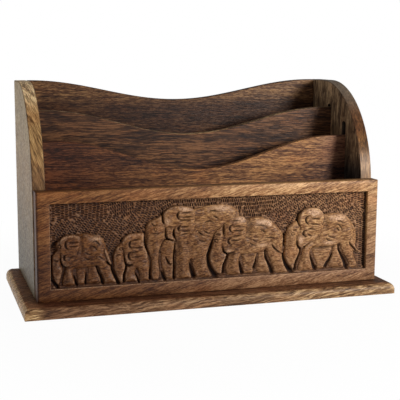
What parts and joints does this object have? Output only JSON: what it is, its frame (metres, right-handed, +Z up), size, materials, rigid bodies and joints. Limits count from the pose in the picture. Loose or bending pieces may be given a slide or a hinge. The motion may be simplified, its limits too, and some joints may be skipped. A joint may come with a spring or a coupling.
{
  "type": "letter rack",
  "caption": "Desktop hardwood letter rack with upright slots between scooped dividers, curved sides, a moulded base and a carved elephant frieze on the front.",
  "frame": {"origin": "middle of the base board's underside, which is the middle of the bounding box's bottom", "axes": "+X along the rack to the right as seen from the carved front, +Y from the front to the back, +Z up"},
  "size_m": [0.329, 0.149, 0.187],
  "materials": {
    "base_wood": "satin varnish over open-grained hardwood",
    "side_wood": "satin varnish, paler on the curved edges",
    "panel_wood": "satin varnish, darker in the carving",
    "inner_wood": "satin varnish, dark stain",
    "screw_steel": "zinc-plated steel",
    "dowel_wood": "raw beech"
  },
  "bodies": {
    "root": {"base_board": "base_wood", "left_side": "side_wood", "right_side": "side_wood", "back_panel": "inner_wood", "middle_divider": "inner_wood", "front_divider": "inner_wood", "front_panel": "panel_wood", "base_screw_front_left": "screw_steel", "base_screw_front_middle": "screw_steel", "base_screw_front_right": "screw_steel", "base_screw_back_left": "screw_steel", "base_screw_back_right": "screw_steel", "base_screw_left_side_fore": "screw_steel", "base_screw_left_side_aft": "screw_steel", "base_screw_right_side_fore": "screw_steel", "base_screw_right_side_aft": "screw_steel", "front_dowel_left_lower": "dowel_wood", "front_dowel_left_upper": "dowel_wood", "front_dowel_right_lower": "dowel_wood", "front_dowel_right_upper": "dowel_wood", "back_dowel_left_lower": "dowel_wood", "back_dowel_left_upper": "dowel_wood", "back_dowel_right_lower": "dowel_wood", "back_dowel_right_upper": "dowel_wood"}
  },
  "joints": []
}
